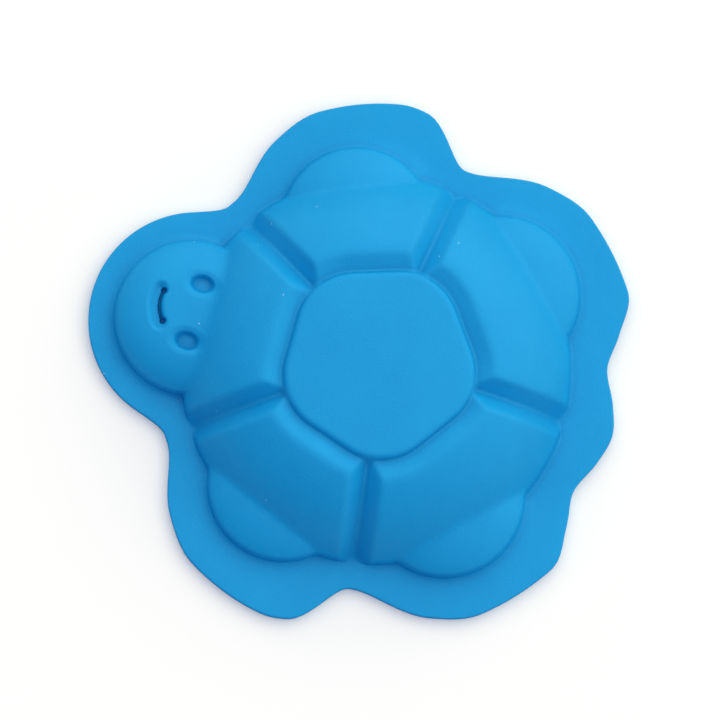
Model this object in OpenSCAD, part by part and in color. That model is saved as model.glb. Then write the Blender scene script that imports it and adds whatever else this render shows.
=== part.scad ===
// Sand mould in the form of a turtle: one thin soft shell that lies mouth down on its flat flange.
// The head points to -Y, the tail to +Y and the dome up.
// Z = 0 is the flange's underside, where sand goes in.

/* [Flange] */
// Thickness of the flat flange
flange_t = 3; // [2.4:0.2:5]
// Rounding of the flange's outer edge
flange_edge_r = 1; // [0.5:0.1:1.2]
// Reach of the flange from the shell's middle to the tip of the tail
tail_reach = 58.6; // [56:0.2:66]
// Reach of the flange in the shallow hollow beside the tail
tail_notch_reach = 55.3; // [54:0.1:58]
// Reach of the flange round the rear flippers
rear_reach = 63.3; // [61:0.1:68]
// Reach of the flange in the hollows before and behind the front flippers
notch_reach = 52.5; // [51:0.5:56]
// Reach of the flange round the front flippers
front_reach = 64.2; // [61:0.2:68]
// Radius of the flange's lobe round the head
head_lobe_r = 25.9; // [23:0.1:28]
// Distance from the shell's middle to the middle of that lobe
head_lobe_y = 44.1; // [42:0.1:48]
// Rounding where the head's lobe runs into the hollows beside it
head_lobe_blend = 5.5; // [2:0.5:9]

/* [Shell] */
// Radius of the shell where it meets the flange
body_r = 46.5; // [44:0.5:48]
// Height of the shell's crown above the flange, before the plate and the grooves are sunk into it
dome_h = 24; // [21:0.5:32]
// Thickness of the moulded wall
wall = 2.5; // [1.6:0.1:3.4]
// Rounding where the flippers run into the shell
fillet = 0.9; // [0.6:0.1:2.5]
// Rounding where the head runs into the shell
neck_fillet = 2.4; // [1:0.1:4]
// Rounding where the raised forms meet the flange
foot_fillet = 0.4; // [0.3:0.1:1]

/* [Plate and grooves] */
// Distance from the shell's middle to the plate's flat sides
plate_flat = 21.6; // [18:0.1:24]
// Rounding of the plate's five corners
plate_corner_r = 14.6; // [8:0.2:17]
// Height of the plate's rim above the groove round it
plate_rim_h = 2.2; // [0.8:0.1:2.5]
// Width of the plate's rounded rim
plate_edge_w = 1.5; // [0.6:0.1:2]
// Height of the plate's slight bulge
plate_bulge_h = 1; // [0:0.1:2]
// Width of the slope that runs from the panels down to the plate
band_w = 4.4; // [3:0.1:6]
// Depth of that slope at the plate
band_d = 4.1; // [2:0.1:5]
// Half the width of the grooves between the panels
groove_half_w = 3.3; // [2.5:0.1:4.2]
// Depth of the grooves between the panels, where they start at the plate
groove_d = 3.8; // [2:0.1:4.5]
// Rounding of the panels' edges along the grooves
panel_edge_soft = 0.9; // [0.3:0.1:1.6]
// Direction of the side grooves, in degrees from the tail
side_groove_angle = 81; // [72:1:88]
// Direction of the front grooves, in degrees from the tail
front_groove_angle = 146.6; // [140:0.2:152]

/* [Head] */
// Distance from the shell's middle to the middle of the head
head_y = 45.4; // [44:0.1:48]
// Radius of the head where it meets the flange
head_r = 18.6; // [16:0.1:20]
// Height of the head above the flange
head_h = 11.5; // [9:0.1:17]
// Half the distance between the eyes' middles
eye_x = 7; // [5:0.1:8]
// How far the pair of eyes sits to one side of the mould's middle line
eye_shift = 0.6; // [0:0.1:1]
// Distance from the shell's middle to the eyes
eye_y = 45; // [43:0.1:47]
// Length of an eye, from head to tail
eye_l = 5.6; // [4:0.1:6.4]
// Width of an eye
eye_w = 4.2; // [2.6:0.1:4.6]
// Depth of an eye's flat floor below the head
eye_d = 1.8; // [0.6:0.1:2]
// Distance from the shell's middle to the middle of the smile
smile_y = 53.5; // [51:0.1:55]
// Radius of the smile's curve
smile_r = 6.4; // [5:0.1:8]
// Width of the smile's groove
smile_w = 2.2; // [1.8:0.1:2.4]
// Depth of the smile's groove
smile_d = 1.6; // [0.8:0.1:1.7]
// Width of the round dimples at the smile's ends
smile_end_w = 2.6; // [2.3:0.1:3.2]
// How far the smile's curve runs, in degrees
smile_sweep_angle = 66; // [40:1:80]
// How far the smile leans to one side, in degrees
smile_lean_angle = 14; // [0:1:20]

/* [Flippers] */
// Distance of the front flippers' middles from the mould's middle line
front_x = 32.5; // [31:0.1:36]
// Distance from the shell's middle forward to the front flippers' middles
front_y = 13.7; // [12:0.1:17]
// Radius of the front flippers
front_r = 18.2; // [15:0.1:19]
// Height of the front flippers above the flange
front_h = 9.2; // [5:0.1:11]
// Distance of the rear flippers' middles from the mould's middle line
rear_x = 25; // [23:0.1:28]
// Distance from the shell's middle back to the rear flippers' middles
rear_y = 23.8; // [22:0.1:26]
// Radius of the rear flippers
rear_r = 19.2; // [16:0.1:20]
// Height of the rear flippers above the flange
rear_h = 10.2; // [5:0.1:11]

/* [Hidden] */
$fn = 48;

// Powers that shape a profile from its crown (first) down to its foot (second)
shell_powers = [3, 0.66];
head_powers = [3, 0.6];
flipper_powers = [2, 0.52];
// How steeply a form is taken to fall away beyond its foot, so that its fillet ends there
run_out_share = 1.6;

// The plate is a rounded pentagon: one side faces the head and one corner faces the tail
plate_sides = 5;
corner_step = 360 / plate_sides;
plate_core = plate_flat - plate_corner_r;
core_half_side = plate_core * tan(corner_step / 2);
core_corner = plate_core / cos(corner_step / 2);
plate_h = crown(plate_flat / body_r, body_r, dome_h, shell_powers) - band_d + plate_rim_h;
groove_angles = [0, side_groove_angle, front_groove_angle];
// The grooves are cut square to the falling shell, so straight down they get deeper towards its foot
groove_foot_share = 0.5;
groove_foot_power = 6;

// The flange's outline, from the tail round to the head: directions of its lobes, of the hollows and of
// places between them, and its reach there
lobe_knots = [
    [0, tail_reach],
    [7, part_way(tail_reach, tail_notch_reach, 0.4)],
    [15.5, tail_notch_reach],
    [24, part_way(tail_notch_reach, rear_reach, 0.45)],
    [33, rear_reach],
    [51, rear_reach],
    [62, part_way(rear_reach, notch_reach, 0.26)],
    [81.3, notch_reach],
    [94, part_way(notch_reach, front_reach, 0.9)],
    [100, front_reach],
    [118, part_way(front_reach, notch_reach, 0.06)],
    [129, part_way(front_reach, notch_reach, 0.36)],
    [145.5, notch_reach],
    [180, notch_reach]
];
last_knot = len(lobe_knots) - 1;
knot_rises = [
    for (k = [1 : last_knot])
        (lobe_knots[k][1] - lobe_knots[k - 1][1]) / (lobe_knots[k][0] - lobe_knots[k - 1][0])
];
// Slope of the outline at each knot: level at the lobes' tips and in the hollows, and between them a mean of
// the two rises beside it that leaves no overshoot
knot_slopes = [
    0,
    for (k = [1 : last_knot - 1]) mean_rise(knot_rises[k - 1], knot_rises[k]),
    0
];

// Rays round one half: from the tail to the side groove, on to the front groove and on to the neck, where
// the head's foot leaves the shell's, closer together at the grooves, and from there evenly round that foot
neck_turn = acos((body_r * body_r - head_y * head_y - head_r * head_r) / (2 * head_y * head_r));
ray_counts = [21, 18, 3];
head_ray_count = 13;
ray_stops = [0, side_groove_angle, front_groove_angle, head_ray(neck_turn)];
half_rays = [
    for (k = [0 : len(ray_counts) - 1])
        for (i = [0 : ray_counts[k] - 1])
            part_way(ray_stops[k], ray_stops[k + 1], crowded(i / ray_counts[k])),
    for (i = [head_ray_count : -1 : 0]) head_ray(neck_turn * i / head_ray_count)
];
rays = [
    each half_rays,
    for (i = [len(half_rays) - 2 : -1 : 1]) 360 - half_rays[i]
];

// Places along a ray, finer on the outer skin than in the hollow: shares of the plate, of its rim inwards and
// of the band outwards, then counts of steps down the panel to the valley and from the valley to the foot
outer_places = [[0.4, 0.8], [1, 0.5, 0], [0.35, 0.75, 1.05, 1.35], 8, 10];
hollow_places = [[0.7], [1, 0.5, 0], [0.35, 0.75, 1.35], 5, 7];
valley_rounds = 14;
rim_turns = [90, 45, 0];

// The face is pressed into the head from above, and its back stands out into the hollow by as much
smile_tilt = atan((relief(0, smile_w - smile_y, 0) - relief(0, -smile_w - smile_y, 0)) / (2 * smile_w));
smile_z = flange_t + relief(0, -smile_y, 0) + smile_w / 2 - smile_d;

// The part's reference point is the middle of its box, so the shell's middle lies a little towards the tail
shell_y = (head_lobe_y + head_lobe_r - tail_reach) / 2;

// A place part of the way from one value to another, and a share of the way that lingers at both ends
function part_way(start, end, share) = start + (end - start) * share;

function crowded(share) = (share + 1 - cos(180 * share)) / 3;

// The larger of two heights, with the corner between them filled over a height k
function blend(a, b, k) =
    let (near = max(k - abs(a - b), 0) / k)
    max(a, b) + near * near * k / 4;

// Height of a rounded form at q radii from its middle
function crown(q, r, h, powers) =
    q < 1 ? h * pow(1 - pow(q, powers[0]), powers[1]) : -run_out_share * r * (q - 1);

// Distance outside the plate's outline; negative inside it
function plate_distance(x, y) =
    let (
        turn = atan2(abs(x), y),
        side = turn - corner_step * floor(turn / corner_step) - corner_step / 2,
        out = norm([x, y]) * cos(side) - plate_core,
        past = max(norm([x, y]) * abs(sin(side)) - core_half_side, 0)
    )
    (out > 0 ? norm([out, past]) : out) - plate_corner_r;

// Distance from the line of a groove that runs out from the shell's middle
function groove_distance(x, y, angle) =
    x * sin(angle) + y * cos(angle) > 0 ? abs(y * sin(angle) - x * cos(angle)) : norm([x, y]);

// Depth that the band and the grooves take off the shell
function sunk(x, y) =
    let (
        slopes = [for (a = groove_angles) 1 - groove_distance(abs(x), y, a) / groove_half_w],
        deeper = 1 + groove_foot_share * pow(norm([x, y]) / body_r, groove_foot_power),
        band = band_d * (1 - plate_distance(x, y) / band_w)
    )
    blend(blend(groove_d * deeper * max(slopes), band, panel_edge_soft), 0, panel_edge_soft);

// Heights above the flange for a skin that lies inset inside the outer one: the domed back with its plate,
// the head, the flippers, and all of them together
function back(x, y, inset) =
    let (
        shell_r = body_r - inset,
        shell = crown(norm([x, y]) / shell_r, shell_r, dome_h - inset, shell_powers) - sunk(x, y),
        rim = max(plate_distance(x, y) / plate_edge_w + 1, 0),
        bulge = plate_bulge_h * (1 - (x * x + y * y) / (plate_flat * plate_flat))
    )
    max(shell, plate_h - inset + bulge - plate_rim_h * rim * rim);

function ball(x, y, r, h, powers) = crown(norm([x, y]) / r, r, h, powers);

function head(x, y, inset) = ball(x, y + head_y, head_r - inset, head_h - inset, head_powers);

function flippers(x, y, inset) =
    max(
        ball(abs(x) - front_x, y + front_y, front_r - inset, front_h - inset, flipper_powers),
        ball(abs(x) - rear_x, y - rear_y, rear_r - inset, rear_h - inset, flipper_powers)
    );

function limbs(x, y, inset) = max(head(x, y, inset), flippers(x, y, inset));

function relief(x, y, inset) =
    blend(blend(back(x, y, inset), flippers(x, y, inset), fillet), head(x, y, inset), neck_fillet);

// How far a ray runs from the shell's middle to the far side of a circle, or zero if it misses
function circle_reach(angle, x, y, r) =
    let (
        along = x * sin(angle) + y * cos(angle),
        across = x * cos(angle) - y * sin(angle)
    )
    along > 0 && abs(across) < r ? along + sqrt(r * r - across * across) : 0;

// Reach of the plate's outline, of the raised forms' foot and of the flange along a ray of one half
function plate_reach(angle) =
    let (
        side = abs(angle - corner_step * floor(angle / corner_step) - corner_step / 2),
        turn = corner_step / 2 - side,
        drop = core_corner * sin(turn)
    )
    plate_flat * tan(side) < core_half_side
        ? plate_flat / cos(side)
        : core_corner * cos(turn) + sqrt(plate_corner_r * plate_corner_r - drop * drop);

function foot_reach(angle, inset) =
    max(
        body_r - inset,
        circle_reach(angle, 0, -head_y, head_r - inset),
        circle_reach(angle, front_x, -front_y, front_r - inset),
        circle_reach(angle, rear_x, rear_y, rear_r - inset)
    );

function mean_rise(a, b) = a * b > 0 ? 2 * a * b / (a + b) : 0;

function knot_reach(angle) =
    let (
        k = max([for (i = [0 : last_knot - 1]) if (lobe_knots[i][0] <= angle) i]),
        step = lobe_knots[k + 1][0] - lobe_knots[k][0],
        share = (angle - lobe_knots[k][0]) / step,
        left = 1 - share
    )
    left * left * (1 + 2 * share) * lobe_knots[k][1]
        + share * share * (1 + 2 * left) * lobe_knots[k + 1][1]
        + step * share * left * (left * knot_slopes[k] - share * knot_slopes[k + 1]);

function flange_reach(angle) =
    blend(knot_reach(angle), circle_reach(angle, 0, -head_lobe_y, head_lobe_r), head_lobe_blend);

// Direction of the ray that meets the head's foot at a turn from the head's tip
function head_ray(turn) = 180 - atan2(head_r * sin(turn), head_y + head_r * cos(turn));

// Distance along a ray at which the back runs into the head or a flipper, found by halving
function valley(ray, inset, low, high, rounds) =
    let (
        middle = (low + high) / 2,
        place = ray * middle,
        above = back(place[0], place[1], inset) > limbs(place[0], place[1], inset)
    )
    rounds == 0 ? middle : valley(ray, inset, above ? middle : low, above ? high : middle, rounds - 1);

// Places on a ray over the raised forms, from near the middle to their foot, closer together at the foot
function form_places(half, inset, places) =
    let (
        plate = plate_reach(half),
        foot = foot_reach(half, inset),
        band = [for (s = places[2]) plate + band_w * s],
        start = band[len(band) - 1],
        dip = min(valley([sin(half), cos(half)], inset, start, foot, valley_rounds), foot - fillet)
    )
    [
        for (s = places[0]) plate * s,
        for (s = places[1]) plate - plate_edge_w * s,
        each band,
        for (i = [1 : places[3]]) start + (dip - start) * i / places[3],
        for (i = [1 : places[4]]) dip + (foot - dip) * sin(90 * i / places[4])
    ];

// Section of the shell along a ray: out over the top, round the flange's edge and back inside the hollow
function section(angle) =
    let (
        half = angle > 180 ? 360 - angle : angle,
        ray = [sin(angle), cos(angle)],
        foot = foot_reach(half, 0),
        top = [each form_places(half, 0, outer_places), foot + foot_fillet],
        hollow = form_places(half, wall, hollow_places),
        edge = flange_reach(half) - flange_edge_r
    )
    [
        for (r = top) [each (ray * r), flange_t + blend(relief(r * ray[0], r * ray[1], 0), 0, foot_fillet)],
        for (t = rim_turns)
            [each (ray * (edge + flange_edge_r * cos(t))), flange_t + flange_edge_r * (sin(t) - 1)],
        for (t = rim_turns)
            [each (ray * (edge + flange_edge_r * sin(t))), flange_edge_r * (1 - cos(t))],
        [each (ray * foot_reach(half, wall)), 0],
        for (i = [len(hollow) - 1 : -1 : 0])
            let (r = hollow[i])
            [each (ray * r), flange_t + max(relief(r * ray[0], r * ray[1], wall), 0)]
    ];

// Skin through all the sections, closed at the plate's middle above and below
module skin() {
    sections = [for (angle = rays) section(angle)];
    turns = len(sections);
    rows = len(sections[0]);
    crown_point = turns * rows;
    points = [
        for (s = sections) each s,
        [0, 0, flange_t + plate_h + plate_bulge_h],
        [0, 0, flange_t + plate_h + plate_bulge_h - wall]
    ];
    faces = [
        for (i = [0 : turns - 1])
            let (a = i * rows, b = ((i + 1) % turns) * rows)
            each [
                [crown_point, a, b],
                for (j = [0 : rows - 2]) each [[a + j, b + j + 1, b + j], [a + j, a + j + 1, b + j + 1]],
                [crown_point + 1, b + rows - 1, a + rows - 1]
            ]
    ];
    polyhedron(points, faces);
}

// Place of the eye on one side or the other, the heights of its floor and of the hollow under it, and the
// slope of the hollow there
function eye_place(side) = side * eye_x - eye_shift;

function eye_floor(side) = flange_t + relief(eye_place(side), -eye_y, 0) - eye_d;

function eye_back(side) = flange_t + relief(eye_place(side), -eye_y, wall);

function eye_tilt(side) =
    let (
        x = eye_place(side),
        fall = relief(x - eye_w, -eye_y, wall) - relief(x + eye_w, -eye_y, wall)
    )
    atan(fall / (2 * eye_w));

// One eye's oval pit, straight down to its floor
module eye_pit() {
    scale([eye_w / eye_l, 1, 1])
        cylinder(d = eye_l, h = head_h);
}

// The oval pad that backs an eye inside the hollow
module eye_pad() {
    scale([(eye_w + wall) / (eye_l + wall), 1, 1])
        cylinder(d = eye_l + wall, h = 2 * eye_d, center = true);
}

// The smile's curve as a bent rod with round ends, sunk by a depth below the groove's own middle
module smile(depth, rod_w, end_w) {
    translate([0, -smile_y, smile_z])
        rotate([smile_tilt, 0, 0])
            rotate([0, 0, smile_lean_angle])
                translate([0, smile_r, -depth]) {
                    rotate([0, 0, 270 - smile_sweep_angle / 2])
                        rotate_extrude(angle = smile_sweep_angle)
                            translate([smile_r, 0])
                                circle(d = rod_w);
                    for (turn = [-1, 1])
                        rotate([0, 0, 270 + turn * smile_sweep_angle / 2])
                            translate([smile_r, 0, 0])
                                sphere(d = end_w);
                }
}

module mould_shell() {
    color([0.13, 0.6, 0.84])
        translate([0, shell_y, 0])
            difference() {
                union() {
                    skin();
                    for (side = [-1, 1])
                        translate([eye_place(side), -eye_y, eye_back(side)])
                            rotate([0, eye_tilt(side), 0])
                                eye_pad();
                    smile(wall, 2 * smile_d, 2 * smile_d + smile_end_w - smile_w);
                }
                for (side = [-1, 1])
                    translate([eye_place(side), -eye_y, eye_floor(side)])
                        eye_pit();
                smile(0, smile_w, smile_end_w);
            }
}

mould_shell();
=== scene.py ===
# %% [markdown]
# # A turtle sand mould
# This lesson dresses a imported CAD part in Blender: a child's sand mould, cast in one piece of soft
# silicone. It is a thin shell. Outside it shows a turtle's shell, head and flippers, and inside it is
# hollow for the sand. All of it lies in the CAD part's own frame: mouth down on the ground, head towards
# -Y, tail towards +Y.

import math

import bmesh
import bpy
import numpy as np
from mathutils import Matrix, Vector


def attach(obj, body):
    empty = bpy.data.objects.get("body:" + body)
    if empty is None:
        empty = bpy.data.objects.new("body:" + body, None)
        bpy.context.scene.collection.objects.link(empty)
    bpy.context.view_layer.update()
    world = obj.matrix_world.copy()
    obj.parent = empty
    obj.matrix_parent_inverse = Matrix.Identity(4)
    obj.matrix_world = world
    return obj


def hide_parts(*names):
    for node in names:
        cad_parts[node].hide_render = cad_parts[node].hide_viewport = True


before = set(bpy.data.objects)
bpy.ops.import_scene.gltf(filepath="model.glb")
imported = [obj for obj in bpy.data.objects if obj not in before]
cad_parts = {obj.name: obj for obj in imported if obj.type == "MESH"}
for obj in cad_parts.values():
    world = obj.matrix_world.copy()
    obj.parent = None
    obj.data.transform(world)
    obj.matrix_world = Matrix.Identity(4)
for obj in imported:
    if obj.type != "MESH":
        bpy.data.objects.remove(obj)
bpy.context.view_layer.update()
MM = 0.001

# %% [markdown]
# ## Camera
# The photograph looks almost straight down on the dome, with the head to the left and turned a little
# upwards. A camera needs a place, a direction and a turn about that direction. Here all three come from
# measured facts: how far raised points lean in the picture, how far the picture is turned, and where the
# shell's middle lies. The camera is moved sideways to frame the mould, so that the lens needs no shift.

# %% Camera
SHELL_MIDDLE = Vector((0, 5.7, 3)) * MM
CAMERA_LEAN = (0.104, -0.008)
PICTURE_TURN = math.radians(15.7)
PICTURE_SIDE = 720
PIXELS_PER_MM = 4.2
SHELL_PIXEL = (375.6, 369.9)
CAMERA_DISTANCE = 1500 * MM
SENSOR_WIDTH = 36

to_camera = Vector((*CAMERA_LEAN, 1)).normalized()
level_right = Vector((-math.sin(PICTURE_TURN), math.cos(PICTURE_TURN), 0))
picture_up = to_camera.cross(level_right).normalized()
picture_right = picture_up.cross(to_camera)
pixel = MM / PIXELS_PER_MM
aim = SHELL_MIDDLE - picture_right * (SHELL_PIXEL[0] - PICTURE_SIDE / 2) * pixel
aim += picture_up * (SHELL_PIXEL[1] - PICTURE_SIDE / 2) * pixel

camera_data = bpy.data.cameras.new("photo_camera")
camera_data.sensor_width = SENSOR_WIDTH
camera_data.lens = SENSOR_WIDTH * CAMERA_DISTANCE / (PICTURE_SIDE * pixel)
camera = bpy.data.objects.new("photo_camera", camera_data)
bpy.context.collection.objects.link(camera)
turn = Matrix((picture_right, picture_up, to_camera)).transposed()
camera.matrix_world = Matrix.Translation(aim + to_camera * CAMERA_DISTANCE) @ turn.to_4x4()
bpy.context.scene.camera = camera
print("camera lens in mm:", round(camera_data.lens, 1))

# %% [markdown]
# ## Floor and light
# The mould lies on a matt white floor. A faint glow that only the camera sees lifts it from nearly white
# to white, so the shadow stays and no more light falls on the mould. The paint is a little warm, which
# keeps the shadow from looking blue. For the light that it throws back the floor is a little darker than
# the camera sees it, and in mirror images it is nearly black, so the mould's shaded slopes keep their
# colour. The light is one large soft one, like a white tent lit from a side: the sky is brightest towards
# the upper right of the picture, falls off evenly with the turn away from there, and is dark at the lower
# left. A faint cool light from all round stands for what the room throws back. The camera itself sees a
# white background.

# %% Floor
FLOOR_SIDE = 6.0
FLOOR_GAP = 0.05 * MM
bpy.ops.object.select_all(action="DESELECT")
bpy.ops.mesh.primitive_plane_add(size=FLOOR_SIDE, location=(0, 0, -FLOOR_GAP))
floor = bpy.context.active_object
floor.name = "floor"
print("floor's side in m:", FLOOR_SIDE)

# %% Paint of the floor


def new_material(name):
    """An empty node material with its output node."""
    material = bpy.data.materials.new(name)
    material.use_nodes = True
    nodes = material.node_tree.nodes
    nodes.clear()
    output = nodes.new("ShaderNodeOutputMaterial")
    return material, nodes, material.node_tree.links, output


def colour_mix(nodes, **colours):
    """A node that mixes its colours A and B."""
    mix = nodes.new("ShaderNodeMix")
    mix.data_type = "RGBA"
    for socket, colour in colours.items():
        mix.inputs[socket].default_value = colour
    return mix


def number_node(nodes, operation, second=0):
    """A node that works on its first number with a second one."""
    node = nodes.new("ShaderNodeMath")
    node.operation = operation
    node.inputs[1].default_value = second
    return node


FLOOR_WHITE = (0.92, 0.92, 0.87, 1)
FLOOR_BOUNCE = (0.75, 0.75, 0.75, 1)
FLOOR_MIRRORED = (0.1, 0.1, 0.1, 1)
FLOOR_GLOW = 0.11
floor_material, nodes, links, output = new_material("white_floor")
ray_kind = nodes.new("ShaderNodeLightPath")
bounce = colour_mix(nodes, A=FLOOR_BOUNCE, B=FLOOR_MIRRORED)
paint = colour_mix(nodes, B=FLOOR_WHITE)
matt = nodes.new("ShaderNodeBsdfDiffuse")
glow = nodes.new("ShaderNodeEmission")
seen = number_node(nodes, "MULTIPLY", FLOOR_GLOW)
both = nodes.new("ShaderNodeAddShader")
links.new(ray_kind.outputs["Is Glossy Ray"], bounce.inputs["Factor"])
links.new(bounce.outputs["Result"], paint.inputs["A"])
links.new(ray_kind.outputs["Is Camera Ray"], paint.inputs["Factor"])
links.new(paint.outputs["Result"], matt.inputs["Color"])
links.new(ray_kind.outputs["Is Camera Ray"], seen.inputs[0])
links.new(seen.outputs["Value"], glow.inputs["Strength"])
links.new(matt.outputs["BSDF"], both.inputs[0])
links.new(glow.outputs["Emission"], both.inputs[1])
links.new(both.outputs["Shader"], output.inputs["Surface"])
floor.data.materials.append(floor_material)
print("nodes of the floor's paint:", len(nodes))

# %% Sky
LIGHT_TURN = math.radians(51)
LIGHT_LIFT = math.radians(34)
LIGHT_SPREAD = 0.55
KEY_LIGHT = (1.06, 1.07, 0.85)
ROOM_LIGHT = (0.01, 0, 0.24)
BACKGROUND_WHITE = (1, 1, 1, 1)
level_up = Vector((-level_right.y, level_right.x, 0))
level_light = level_right * math.cos(LIGHT_TURN) + level_up * math.sin(LIGHT_TURN)
to_light = level_light * math.cos(LIGHT_LIFT) + Vector((0, 0, math.sin(LIGHT_LIFT)))

world = bpy.data.worlds.new("soft_sky")
bpy.context.scene.world = world
world.use_nodes = True
nodes = world.node_tree.nodes
links = world.node_tree.links
nodes.clear()
direction = nodes.new("ShaderNodeTexCoord")
facing = nodes.new("ShaderNodeVectorMath")
facing.operation = "DOT_PRODUCT"
facing.inputs[1].default_value = to_light
spread = number_node(nodes, "ADD", LIGHT_SPREAD)
lit = number_node(nodes, "MAXIMUM", 0)
sky_colour = nodes.new("ShaderNodeVectorMath")
sky_colour.operation = "MULTIPLY_ADD"
sky_colour.inputs[0].default_value = KEY_LIGHT
sky_colour.inputs[2].default_value = ROOM_LIGHT
sky = nodes.new("ShaderNodeBackground")
white = nodes.new("ShaderNodeBackground")
white.inputs["Color"].default_value = BACKGROUND_WHITE
ray_kind = nodes.new("ShaderNodeLightPath")
seen = nodes.new("ShaderNodeMixShader")
output = nodes.new("ShaderNodeOutputWorld")
links.new(direction.outputs["Generated"], facing.inputs[0])
links.new(facing.outputs["Value"], spread.inputs[0])
links.new(spread.outputs["Value"], lit.inputs[0])
links.new(lit.outputs["Value"], sky_colour.inputs[1])
links.new(sky_colour.outputs["Vector"], sky.inputs["Color"])
links.new(ray_kind.outputs["Is Camera Ray"], seen.inputs["Fac"])
links.new(sky.outputs["Background"], seen.inputs[1])
links.new(white.outputs["Background"], seen.inputs[2])
links.new(seen.outputs["Shader"], output.inputs["Surface"])
bpy.context.scene.view_settings.view_transform = "Standard"
print("light comes from:", [round(value, 2) for value in to_light])

# %% [markdown]
# ## The turtle's form
# The real mould is cast over a carved master. A carver could block it out from a dome and five balls and
# smooth the joins; here each form is a height over the ground plan, and the forms are joined by taking
# the larger height with a small fillet. Each form is a rounded top on a steep foot. Sizes are in
# millimetres from the shell's middle. The outlines of the flange, the shell, the plate and the limbs are
# the CAD part's, with the flange a hair shorter at the front flippers to stay inside its box. Heights,
# edges, grooves and face are shaped more finely than there.

# %% Sizes of the flange
FLANGE_T = 3
FLANGE_EDGE_R = 0.45
TAIL_REACH = 58.6
TAIL_NOTCH_REACH = 55.3
REAR_REACH = 63.3
NOTCH_REACH = 52.5
FRONT_REACH = 64.12
HEAD_LOBE_R = 25.9
HEAD_LOBE_Y = 44.1
HEAD_LOBE_BLEND = 5.5
# Each knot is a direction in degrees from the tail, two reaches, and the share of the way between them
LOBE_KNOTS = (
    (0, TAIL_REACH, TAIL_REACH, 0),
    (7, TAIL_REACH, TAIL_NOTCH_REACH, 0.4),
    (15.5, TAIL_REACH, TAIL_NOTCH_REACH, 1),
    (24, TAIL_NOTCH_REACH, REAR_REACH, 0.45),
    (33, TAIL_NOTCH_REACH, REAR_REACH, 1),
    (51, REAR_REACH, REAR_REACH, 0),
    (62, REAR_REACH, NOTCH_REACH, 0.26),
    (81.3, REAR_REACH, NOTCH_REACH, 1),
    (94, NOTCH_REACH, FRONT_REACH, 0.9),
    (100, NOTCH_REACH, FRONT_REACH, 1),
    (118, FRONT_REACH, NOTCH_REACH, 0.06),
    (129, FRONT_REACH, NOTCH_REACH, 0.36),
    (145.5, FRONT_REACH, NOTCH_REACH, 1),
    (180, NOTCH_REACH, NOTCH_REACH, 0),
)
print("knots on one side of the flange:", len(LOBE_KNOTS))

# %% Sizes of the shell, its plate and its grooves
BODY_R = 46.5
DOME_H = 21
SHELL_STEP = 2.5
STEP_W = 0.9
WALL = 2.5
FILLET = 1.2
NECK_FILLET = 2
FOOT_FILLET = 2.2
SHELL_POWERS = (3.7, 0.9)
RUN_OUT = 1.6

PLATE_SIDES = 5
PLATE_FLAT = 21.6
PLATE_CORNER_R = 14.6
PLATE_RIM_H = 1.5
PLATE_EDGE_W = 2.4
PLATE_EDGE_POWER = 4
PLATE_CREASE = 0.3
PLATE_DOME = 0.98
BAND_W = 4.8
BAND_D = 3.4
BAND_EDGE_SOFT = 1
GROOVE_HALF_W = 3.5
GROOVE_D = 4.2
GROOVE_FLOOR_R = 0.6
GROOVE_FOOT_GAIN = 0.5
GROOVE_FOOT_POWER = 6
PANEL_EDGE_SOFT = 0.9
GROOVE_ANGLES = (0, 81, 146.6)
print("shell's width in mm:", 2 * BODY_R)

# %% Sizes of the head and the flippers
# Each form is its middle's x and y, its radius, and the heights of its rounded top and its steep foot
HEAD = (0, -45.4, 18.6, 7, 3.4)
HEAD_POWERS = (3, 0.8)
FRONT_FLIPPER = (32.5, -13.7, 18.2, 6.3, 3)
REAR_FLIPPER = (25, 23.8, 19.2, 6.9, 3.2)
FLIPPER_POWERS = (2, 0.7)
print("head's height above the flange in mm:", HEAD[3] + HEAD[4])

# %% Height of the shell with its plate and grooves


def blend(first, second, soft):
    """The larger of two heights, with the corner between them filled over a height."""
    near = np.maximum(soft - np.abs(first - second), 0) / soft
    return np.maximum(first, second) + near * near * soft / 4


def crown(share, radius, height, step, powers):
    """Height of a rounded top on a steep foot, at a share of its radius; past the foot it runs out below."""
    inside = np.maximum(1 - np.minimum(share, 1) ** powers[0], 0)
    near_foot = np.clip(1 - (1 - share) * radius / STEP_W, 0, 1)
    rise = height * inside ** powers[1] + step * np.sqrt(1 - near_foot**2)
    return np.where(share < 1, rise, RUN_OUT * radius * (1 - share))


CORNER_STEP = 2 * math.pi / PLATE_SIDES
PLATE_CORE = PLATE_FLAT - PLATE_CORNER_R
CORE_HALF_SIDE = PLATE_CORE * math.tan(CORNER_STEP / 2)
CORE_CORNER = PLATE_CORE / math.cos(CORNER_STEP / 2)
AWAY_FROM_GROOVES = -10.0


def plate_distance(x, y):
    """Distance outside the plate's rounded pentagon; negative inside it."""
    turn = np.arctan2(np.abs(x), y)
    side = turn - CORNER_STEP * np.floor(turn / CORNER_STEP) - CORNER_STEP / 2
    out = np.hypot(x, y) * np.cos(side) - PLATE_CORE
    past = np.maximum(np.hypot(x, y) * np.abs(np.sin(side)) - CORE_HALF_SIDE, 0)
    return np.where(out > 0, np.hypot(out, past), out) - PLATE_CORNER_R


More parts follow.
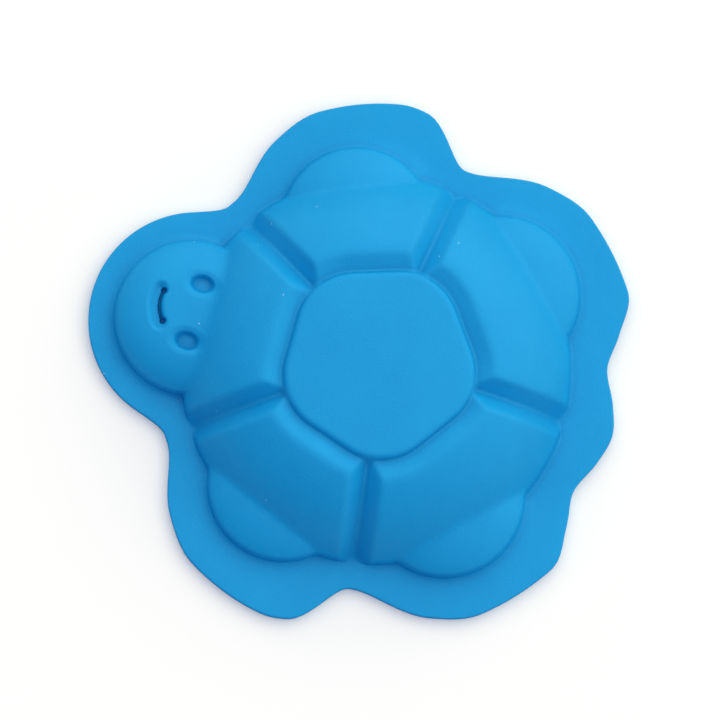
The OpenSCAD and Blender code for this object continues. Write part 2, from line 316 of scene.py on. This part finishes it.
def sunk(x, y):
    """Depth that the band round the plate and the grooves take off the shell."""
    slope = np.full(np.shape(x), AWAY_FROM_GROOVES)
    for angle in np.radians(GROOVE_ANGLES):
        along = np.abs(x) * np.sin(angle) + y * np.cos(angle)
        across = np.abs(y * np.sin(angle) - np.abs(x) * np.cos(angle))
        beside = np.hypot(across, GROOVE_FLOOR_R) - GROOVE_FLOOR_R
        away = np.where(along > 0, beside, np.hypot(x, y))
        slope = np.maximum(slope, 1 - away / GROOVE_HALF_W)
    band = blend(BAND_D * (1 - plate_distance(x, y) / BAND_W), 0, BAND_EDGE_SOFT)
    gain = 1 + GROOVE_FOOT_GAIN * (np.hypot(x, y) / BODY_R) ** GROOVE_FOOT_POWER
    groove = GROOVE_D * gain * slope
    return blend(blend(groove, 0, PANEL_EDGE_SOFT), band, PANEL_EDGE_SOFT)


dome_at_plate = float(crown(PLATE_FLAT / BODY_R, BODY_R, DOME_H, SHELL_STEP, SHELL_POWERS))
PLATE_H = dome_at_plate - BAND_D + PLATE_RIM_H


def back(x, y, inset):
    """Height of the domed back with its plate, for a skin that lies inset inside the outer one."""
    radius = BODY_R - inset
    dome = crown(np.hypot(x, y) / radius, radius, DOME_H, SHELL_STEP - inset, SHELL_POWERS)
    rim = np.maximum(plate_distance(x, y) / PLATE_EDGE_W + 1, 0)
    bulge = PLATE_DOME * (1 - (x * x + y * y) / PLATE_FLAT**2)
    plate = PLATE_H - inset + bulge - PLATE_RIM_H * rim**PLATE_EDGE_POWER
    return blend(dome - sunk(x, y), plate, PLATE_CREASE)


print("plate above the flange in mm:", round(PLATE_H, 2))

# %% Height of the limbs and of the whole turtle


def ball(x, y, form, inset, powers):
    """Height of a round form, given by its middle, its radius, its rounded top and its steep foot."""
    form_x, form_y, radius, top, step = form
    share = np.hypot(x - form_x, y - form_y) / (radius - inset)
    return crown(share, radius - inset, top, step - inset, powers)


def flippers(x, y, inset):
    """Height of the four flippers."""
    front = ball(np.abs(x), y, FRONT_FLIPPER, inset, FLIPPER_POWERS)
    return np.maximum(front, ball(np.abs(x), y, REAR_FLIPPER, inset, FLIPPER_POWERS))


def limbs(x, y, inset):
    """Height of the head and the four flippers."""
    return np.maximum(flippers(x, y, inset), ball(x, y, HEAD, inset, HEAD_POWERS))


def relief(x, y, inset):
    """Height of all the raised forms above the flange; the head runs into the shell with a wide fillet."""
    body = blend(back(x, y, inset), flippers(x, y, inset), FILLET)
    return blend(body, ball(x, y, HEAD, inset, HEAD_POWERS), NECK_FILLET)


print("top of the turtle above the flange in mm:", round(float(relief(0.0, 0.0, 0)), 2))

# %% [markdown]
# ## The face
# Two oval eyes and a smile are pressed into the head. On the real mould their edges are soft: an eye has
# a flat floor, a steep wall and a rounded lip, and the smile is a narrow groove with a gentle lip on the
# chin's side. Each is a depth that depends on the distance from its outline.

# %% Depth of the eyes
EYE_X = 7
EYE_SHIFT = -0.6
EYE_Y = -45
EYE_L = 5
EYE_W = 3.7
EYE_D = 2.3
EYE_LIP_D = 0.8
EYE_WALL_W = 1.3
EYE_LIP_W = 2.2


def ease(start, end, value):
    """A smooth step from 0 at start to 1 at end."""
    share = np.clip((value - start) / (end - start), 0, 1)
    return share * share * (3 - 2 * share)


def eye_depth(x, y):
    """Depth of the two eyes."""
    across = (np.abs(x - EYE_SHIFT) - EYE_X) / (EYE_W / 2)
    along = (y - EYE_Y) / (EYE_L / 2)
    outside = (np.hypot(across, along) - 1) * (EYE_W + EYE_L) / 4
    wall = (EYE_D - EYE_LIP_D) * (1 - ease(-EYE_WALL_W / 2, EYE_WALL_W / 2, outside))
    lip = EYE_LIP_D * (1 - ease(-EYE_WALL_W / 2, EYE_LIP_W, outside))
    return wall + lip


print("an eye's length, width and depth in mm:", EYE_L, EYE_W, EYE_D)

# %% Depth of the smile
SMILE_Y = -53.5
SMILE_R = 7.6
SMILE_D = 2.4
SMILE_SWEEP = math.radians(57)
SMILE_LEAN = math.radians(13)
SMILE_WALL_W = 0.85
SMILE_LIP_D = 1.4
SMILE_LIP_SHIFT = 0.9
SMILE_LIP_W = 2.3
SMILE_END_R = 1.1
SMILE_END_FLOOR_R = SMILE_END_R / 3


def arc_distance(x, y, radius):
    """Distance from the smile's arc, at a radius about the smile's middle."""
    held = np.clip(np.arctan2(x, -y), -SMILE_SWEEP / 2, SMILE_SWEEP / 2)
    return np.hypot(x - radius * np.sin(held), y + radius * np.cos(held))


def smile_depth(x, y):
    """Depth of the smile: a narrow groove with a gentle lip on the chin and a dimple at each end."""
    turned_x = x * math.cos(SMILE_LEAN) + (y - SMILE_Y) * math.sin(SMILE_LEAN)
    turned_y = (y - SMILE_Y) * math.cos(SMILE_LEAN) - x * math.sin(SMILE_LEAN) - SMILE_R
    away = arc_distance(turned_x, turned_y, SMILE_R)
    depth = SMILE_D * (1 - ease(0, SMILE_WALL_W, away))
    for side in (-1, 1):
        end_x = SMILE_R * math.sin(side * SMILE_SWEEP / 2)
        end_y = -SMILE_R * math.cos(side * SMILE_SWEEP / 2)
        gap = np.hypot(turned_x - end_x, turned_y - end_y)
        dimple = SMILE_D * (1 - ease(SMILE_END_FLOOR_R, SMILE_END_R, gap))
        depth = np.maximum(depth, dimple)
    chin_away = arc_distance(turned_x, turned_y, SMILE_R + SMILE_LIP_SHIFT)
    lip = SMILE_LIP_D * (1 - ease(0, SMILE_LIP_W, chin_away))
    return np.maximum(depth, lip)


def face_depth(x, y):
    """Depth of the whole face below the head."""
    return np.maximum(eye_depth(x, y), smile_depth(x, y))


print("smile's length and depth in mm:", round(SMILE_R * SMILE_SWEEP, 1), SMILE_D)

# %% [markdown]
# ## Where the outlines lie on a ray
# The skin is laid out on rays from the shell's middle, as a carver would work round a form. On each ray
# the rings of the net stop at the edges of the form: the plate's rim, the band, the valley before a limb,
# the foot and the flange's edge. So every edge of the form has a line of the net along it and comes out
# clean.

# %% Reaches of the plate and of the foot along a ray


def circle_reach(angle, x, y, radius):
    """How far a ray runs to the far side of a circle, or zero where it misses."""
    along = x * np.sin(angle) + y * np.cos(angle)
    across = x * np.cos(angle) - y * np.sin(angle)
    half_chord = np.sqrt(np.maximum(radius * radius - across * across, 0))
    return np.where((along > 0) & (np.abs(across) < radius), along + half_chord, 0)


def plate_reach(angle):
    """How far a ray runs to the plate's outline."""
    side = np.abs(angle - CORNER_STEP * np.floor(angle / CORNER_STEP) - CORNER_STEP / 2)
    drop = CORE_CORNER * np.sin(CORNER_STEP / 2 - side)
    corner = CORE_CORNER * np.cos(CORNER_STEP / 2 - side)
    corner = corner + np.sqrt(np.maximum(PLATE_CORNER_R**2 - drop**2, 0))
    return np.where(PLATE_FLAT * np.tan(side) < CORE_HALF_SIDE, PLATE_FLAT / np.cos(side), corner)


def foot_reach(angle, inset):
    """How far a ray runs to the foot of the raised forms."""
    reach = np.full(np.shape(angle), BODY_R - inset, float)
    for form_x, form_y, radius, _, _ in (HEAD, FRONT_FLIPPER, REAR_FLIPPER):
        reach = np.maximum(reach, circle_reach(angle, form_x, form_y, radius - inset))
    return reach


HALVINGS = 16


def valley_reach(angle, start, foot, inset):
    """How far a ray runs until the back meets a limb, found by halving."""
    low = np.array(start)
    high = np.array(foot)
    for _ in range(HALVINGS):
        middle = (low + high) / 2
        x = middle * np.sin(angle)
        y = middle * np.cos(angle)
        above = back(x, y, inset) > limbs(x, y, inset)
        low = np.where(above, middle, low)
        high = np.where(above, high, middle)
    return np.minimum(low, foot - FILLET)


print("plate's reach towards the tail in mm:", round(float(plate_reach(0.0)), 2))

# %% Reach of the flange along a ray
knot_angles = np.array([angle for angle, start, end, share in LOBE_KNOTS])
knot_reaches = np.array([start + (end - start) * share for angle, start, end, share in LOBE_KNOTS])
rises = np.diff(knot_reaches) / np.diff(knot_angles)
same_way = rises[:-1] * rises[1:] > 0
rise_sums = np.where(same_way, rises[:-1] + rises[1:], 1)
inner_slopes = np.where(same_way, 2 * rises[:-1] * rises[1:] / rise_sums, 0)
knot_slopes = np.concatenate(([0], inner_slopes, [0]))


def flange_reach(angle):
    """How far a ray runs to the flange's scalloped edge: a curve through the knots, and the head's lobe."""
    degrees = np.degrees(angle)
    knot = np.clip(np.searchsorted(knot_angles, degrees, side="right") - 1, 0, len(knot_angles) - 2)
    step = knot_angles[knot + 1] - knot_angles[knot]
    share = (degrees - knot_angles[knot]) / step
    over = 1 - share
    from_start = over**2 * (1 + 2 * share) * knot_reaches[knot]
    from_end = share**2 * (1 + 2 * over) * knot_reaches[knot + 1]
    lean = step * share * over * (over * knot_slopes[knot] - share * knot_slopes[knot + 1])
    lobes = from_start + from_end + lean
    return blend(lobes, circle_reach(angle, 0, -HEAD_LOBE_Y, HEAD_LOBE_R), HEAD_LOBE_BLEND)


print("flange's reach towards the head in mm:", round(float(flange_reach(math.pi)), 2))

# %% [markdown]
# ## The net
# The skin starts as a flat grid. One of its directions counts the rays round the turtle and the other
# counts the rings: from the plate's middle over the top, round the flange's edge, and back inside the
# hollow. The grid is made finer where the face comes, and then each point is laid on the form at its own
# ray and ring.

# %% Rays of the net
RAYS_TO_SIDE = 70
RAYS_TO_FRONT = 58
RAYS_TO_NECK = 10
RAYS_ROUND_HEAD = 44
CROWDING = 2
_, head_y, head_r, _, _ = HEAD
neck_turn = math.acos((BODY_R**2 - head_y**2 - head_r**2) / (2 * -head_y * head_r))
head_turns = np.linspace(neck_turn, 0, RAYS_ROUND_HEAD + 1)
head_rays = math.pi - np.arctan2(head_r * np.sin(head_turns), -head_y + head_r * np.cos(head_turns))


def crowded_rays(start, end, count):
    """Rays from start to just before end, closer together at both ends, where the grooves are."""
    share = np.arange(count) / count
    crowded = (1 - np.cos(share * math.pi)) / 2
    return start + (end - start) * (share + CROWDING * crowded) / (1 + CROWDING)


tail, side_groove, front_groove = np.radians(GROOVE_ANGLES)
half_rays = np.concatenate(
    (
        crowded_rays(tail, side_groove, RAYS_TO_SIDE),
        crowded_rays(side_groove, front_groove, RAYS_TO_FRONT),
        np.linspace(front_groove, head_rays[0], RAYS_TO_NECK, endpoint=False),
        head_rays,
    )
)
rays = np.concatenate((half_rays, 2 * math.pi - half_rays[-2::-1]))
ray_count = len(rays) - 1
print("rays round the mould:", ray_count)

# %% Rings of the net
RINGS = {
    "outer": (("plate", 6), ("plate_rim", 8), ("band", 12), ("panel", 26), ("limb", 30), ("fillet", 5)),
    "edge": (
        ("flange", 3),
        ("edge_top", 5),
        ("edge_under", 5),
        ("underside", 2),
        ("mouth", 5),
        ("mouth_wall", 2),
    ),
    "hollow": (("limb", 22), ("panel", 18), ("band", 9), ("plate_rim", 5), ("plate", 4)),
}
MOUTH_EDGE_R = 0.8
BAND_STRETCH = 1.35
ring_names = []
ring_starts = [0]
for stage, groups in RINGS.items():
    for name, count in groups:
        ring_names.append((stage, name))
        ring_starts.append(ring_starts[-1] + count)
ring_count = ring_starts[-1]
last_outer_ring = ring_starts[len(RINGS["outer"])]
print("rings from the plate's middle to the hollow's middle:", ring_count)

# %% Where the rings' groups begin and end


def form_reaches(angle, inset):
    """The reaches at which the rings' groups begin and end on a ray."""
    plate = plate_reach(angle)
    foot = foot_reach(angle, inset)
    band_end = plate + BAND_W * BAND_STRETCH
    valley = valley_reach(angle, band_end, foot, inset)
    return {
        "plate": (np.zeros_like(plate), plate - PLATE_EDGE_W),
        "plate_rim": (plate - PLATE_EDGE_W, plate),
        "band": (plate, band_end),
        "panel": (band_end, valley),
        "limb": (valley, foot),
        "fillet": (foot, foot + FILLET),
    }


def form_spot(stage, share, name, reaches):
    """Reach of points on a raised form: outwards on the outer skin, inwards in the hollow."""
    start, end = reaches[name]
    if stage == "hollow":
        start, end = end, start
    if name == "limb":
        arc = share * math.pi / 2
        share = np.sin(arc) if stage == "outer" else 1 - np.cos(arc)
    return start + (end - start) * share


def edge_spot(share, name, foot, rim, mouth):
    """Reach and height of points on the flange, round its edge, under it and up into the mouth."""
    arc = share * math.pi / 2
    by_sine = 1 - np.sin(arc)
    by_cosine = 1 - np.cos(arc)
    return {
        "flange": (foot + (rim - foot) * share, FLANGE_T),
        "edge_top": (rim + FLANGE_EDGE_R * np.sin(arc), FLANGE_T - FLANGE_EDGE_R * by_cosine),
        "edge_under": (rim + FLANGE_EDGE_R * np.cos(arc), FLANGE_EDGE_R * by_sine),
        "underside": (rim + (mouth + MOUTH_EDGE_R - rim) * share, 0),
        "mouth": (mouth + MOUTH_EDGE_R * by_sine, MOUTH_EDGE_R * by_cosine),
        "mouth_wall": (mouth, MOUTH_EDGE_R + (FLANGE_T - MOUTH_EDGE_R) * share),
    }[name]


print("groups of rings:", [name for stage, name in ring_names])

# %% Lay a point of the net on the form


def lay(ray_number, ring_number):
    """Places, in mm from the shell's middle, of points given by their ray and ring."""
    angle = np.interp(ray_number, np.arange(len(rays)), rays)
    ring_number = np.clip(ring_number, 0, ring_count)
    half = np.where(angle > math.pi, 2 * math.pi - angle, angle)
    reaches = {"outer": form_reaches(half, 0), "hollow": form_reaches(half, WALL)}
    foot = reaches["outer"]["fillet"][1]
    rim = flange_reach(half) - FLANGE_EDGE_R
    mouth = foot_reach(half, WALL)
    reach = np.zeros_like(angle)
    height = np.zeros_like(angle)
    on_outer = np.zeros(angle.shape, bool)
    on_hollow = np.zeros(angle.shape, bool)
    for number, (stage, name) in enumerate(ring_names):
        first = ring_starts[number]
        last = ring_starts[number + 1]
        here = (ring_number >= first) & (ring_number <= last)
        share = np.clip((ring_number - first) / (last - first), 0, 1)
        if stage == "edge":
            ring_reach, ring_height = edge_spot(share, name, foot, rim, mouth)
            height = np.where(here, ring_height, height)
        else:
            ring_reach = form_spot(stage, share, name, reaches[stage])
        reach = np.where(here, ring_reach, reach)
        on_outer = np.where(here, stage == "outer", on_outer)
        on_hollow = np.where(here, stage == "hollow", on_hollow)
    x = reach * np.sin(angle)
    y = reach * np.cos(angle)
    depth = face_depth(x, y)
    outside = blend(relief(x, y, 0), 0, FOOT_FILLET) - depth
    inside = np.maximum(relief(x, y, WALL), 0) - depth * (y < 0)
    height = np.where(on_outer, FLANGE_T + outside, height)
    height = np.where(on_hollow, FLANGE_T + np.maximum(inside, 0), height)
    return np.stack((x, y, height), -1)


middle_top = lay(np.zeros(1), np.zeros(1))[0]
print("middle of the plate in mm:", [round(float(value), 2) for value in middle_top])

# %% Make the grid
GRID_SIDE = 2
bpy.ops.object.select_all(action="DESELECT")
bpy.ops.mesh.primitive_grid_add(x_subdivisions=ray_count, y_subdivisions=ring_count, size=GRID_SIDE)
shell = bpy.context.active_object
shell.name = "turtle_mould"
shell.scale = (ray_count / GRID_SIDE, ring_count / GRID_SIDE, 1)
shell.location = (ray_count / 2, ring_count / 2, 0)
bpy.ops.object.transform_apply(location=True, rotation=False, scale=True)
print("grid points:", len(shell.data.vertices))

# %% Make the grid finer under the face
FACE_CUTS = 3
FACE_MARGIN = 0.01
bpy.ops.object.mode_set(mode="EDIT")
bpy.ops.mesh.select_mode(type="FACE")
bpy.ops.mesh.select_all(action="DESELECT")
net = bmesh.from_edit_mesh(shell.data)
net.faces.ensure_lookup_table()
corners = np.array([[corner.co[:2] for corner in face.verts] for face in net.faces])
spots = lay(corners[..., 0].ravel(), corners[..., 1].ravel()).reshape(*corners.shape[:2], 3)
near_face = (face_depth(spots[..., 0], spots[..., 1]) > FACE_MARGIN).any(axis=1)
near_face &= corners[..., 1].max(axis=1) <= last_outer_ring
for face, chosen in zip(net.faces, near_face):
    face.select = bool(chosen)
bmesh.update_edit_mesh(shell.data)
bpy.ops.mesh.subdivide(number_cuts=FACE_CUTS)
bpy.ops.object.mode_set(mode="OBJECT")
print("faces made finer for the face:", int(near_face.sum()))

# %% Lay the net on the form
flat = np.zeros(len(shell.data.vertices) * 3)
shell.data.vertices.foreach_get("co", flat)
flat = flat.reshape(-1, 3)
laid = lay(flat[:, 0], flat[:, 1]) * MM
laid[:, 1] += SHELL_MIDDLE.y
shell.data.vertices.foreach_set("co", laid.ravel())
shell.data.update()
print("highest point in mm:", round(float(laid[:, 2].max()) / MM, 2))

# %% Join the net's ends and smooth the skin
JOIN = 0.002 * MM
bpy.ops.object.mode_set(mode="EDIT")
bpy.ops.mesh.select_all(action="SELECT")
bpy.ops.mesh.remove_doubles(threshold=JOIN)
bpy.ops.mesh.dissolve_degenerate(threshold=JOIN)
bpy.ops.mesh.normals_make_consistent(inside=False)
bpy.ops.object.mode_set(mode="OBJECT")
bpy.ops.object.shade_smooth()
triangles = sum(len(face.vertices) - 2 for face in shell.data.polygons)
print("triangles of the skin:", triangles)

# %% [markdown]
# ## Satin silicone
# Moulded silicone has one colour all through. What makes it look real is small: the colour drifts a
# little, the surface is very finely grained from the tool it was cast in, and a few specks of dust cling
# to it. The creases also get a deeper blue, which is painted shade: it makes them darker than the light
# alone makes them here. A crease's shade could be painted by hand; here it is found by how near other
# parts of the skin are, so it follows the form from every side.

# %% Colour of the silicone, with its drift and the specks
DEEP_BLUE = (0.003, 0.295, 0.635, 1)
PALE_BLUE = (0.008, 0.37, 0.735, 1)
SPECK_BLUE = (0.3, 0.6, 0.8, 1)
DRIFT_SCALE = 55
DRIFT_DETAIL = 7
DRIFT_ROUGHNESS = 0.68
SPECK_SCALE = 170
SPECK_R = 0.032
SPECK_SHARE = 0.6
silicone, nodes, links, output = new_material("blue_silicone")
place = nodes.new("ShaderNodeTexCoord")
drift = nodes.new("ShaderNodeTexNoise")
drift.inputs["Scale"].default_value = DRIFT_SCALE
drift.inputs["Detail"].default_value = DRIFT_DETAIL
drift.inputs["Roughness"].default_value = DRIFT_ROUGHNESS
blues = colour_mix(nodes, A=DEEP_BLUE, B=PALE_BLUE)
specks = nodes.new("ShaderNodeTexVoronoi")
specks.inputs["Scale"].default_value = SPECK_SCALE
small = number_node(nodes, "LESS_THAN", SPECK_R)
chance = nodes.new("ShaderNodeSeparateColor")
few = number_node(nodes, "LESS_THAN", SPECK_SHARE)
dust = number_node(nodes, "MULTIPLY")
dusted = colour_mix(nodes, B=SPECK_BLUE)
links.new(place.outputs["Object"], drift.inputs["Vector"])
links.new(place.outputs["Object"], specks.inputs["Vector"])
links.new(drift.outputs["Fac"], blues.inputs["Factor"])
links.new(specks.outputs["Distance"], small.inputs[0])
links.new(specks.outputs["Color"], chance.inputs["Color"])
links.new(chance.outputs["Red"], few.inputs[0])
links.new(small.outputs["Value"], dust.inputs[0])
links.new(few.outputs["Value"], dust.inputs[1])
links.new(dust.outputs["Value"], dusted.inputs["Factor"])
links.new(blues.outputs["Result"], dusted.inputs["A"])
print("nodes of the silicone's colour:", len(nodes))

# %% Painted shade in the creases of the silicone
# Painted shade: where other parts of the skin are near, the colour turns towards a deep blue, as the shade
# in a crease would.
PAINTED_CREASE_SHADE = (0, 0.07, 0.27, 1)
CREASE_REACH = 2.6 * MM
CREASE_OPEN = 0.9
CREASE_SHUT = 0.15
CREASE_SAMPLES = 8
crease = nodes.new("ShaderNodeAmbientOcclusion")
crease.samples = CREASE_SAMPLES
crease.only_local = True
crease.inputs["Distance"].default_value = CREASE_REACH
closed_in = nodes.new("ShaderNodeMapRange")
closed_in.inputs["From Min"].default_value = CREASE_OPEN
closed_in.inputs["From Max"].default_value = CREASE_SHUT
shade_painted_colour = colour_mix(nodes, B=PAINTED_CREASE_SHADE)
links.new(crease.outputs["AO"], closed_in.inputs["Value"])
links.new(closed_in.outputs["Result"], shade_painted_colour.inputs["Factor"])
links.new(dusted.outputs["Result"], shade_painted_colour.inputs["A"])
print("creases are looked for within mm:", round(CREASE_REACH / MM, 1))

# %% Grain and sheen of the silicone
GRAIN_SCALE = 2600
GRAIN_DETAIL = 2
GRAIN_STRENGTH = 0.9
GRAIN_D = 0.1 * MM
SHEEN_SCALE = 240
SMOOTHEST = 0.38
ROUGHEST = 0.54
GLOSS = 0.16
grain = nodes.new("ShaderNodeTexNoise")
grain.inputs["Scale"].default_value = GRAIN_SCALE
grain.inputs["Detail"].default_value = GRAIN_DETAIL
bumps = nodes.new("ShaderNodeBump")
bumps.inputs["Strength"].default_value = GRAIN_STRENGTH
bumps.inputs["Distance"].default_value = GRAIN_D
sheen = nodes.new("ShaderNodeTexNoise")
sheen.inputs["Scale"].default_value = SHEEN_SCALE
rough = nodes.new("ShaderNodeMapRange")
rough.inputs["To Min"].default_value = SMOOTHEST
rough.inputs["To Max"].default_value = ROUGHEST
surface = nodes.new("ShaderNodeBsdfPrincipled")
surface.inputs["Specular IOR Level"].default_value = GLOSS
links.new(place.outputs["Object"], grain.inputs["Vector"])
links.new(place.outputs["Object"], sheen.inputs["Vector"])
links.new(grain.outputs["Fac"], bumps.inputs["Height"])
links.new(sheen.outputs["Fac"], rough.inputs["Value"])
links.new(shade_painted_colour.outputs["Result"], surface.inputs["Base Color"])
links.new(rough.outputs["Result"], surface.inputs["Roughness"])
links.new(bumps.outputs["Normal"], surface.inputs["Normal"])
links.new(surface.outputs["BSDF"], output.inputs["Surface"])
shell.data.materials.append(silicone)
print("nodes of the silicone:", len(nodes))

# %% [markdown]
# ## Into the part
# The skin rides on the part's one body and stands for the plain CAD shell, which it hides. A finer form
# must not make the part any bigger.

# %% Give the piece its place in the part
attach(shell, "root")
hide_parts("mould_shell")
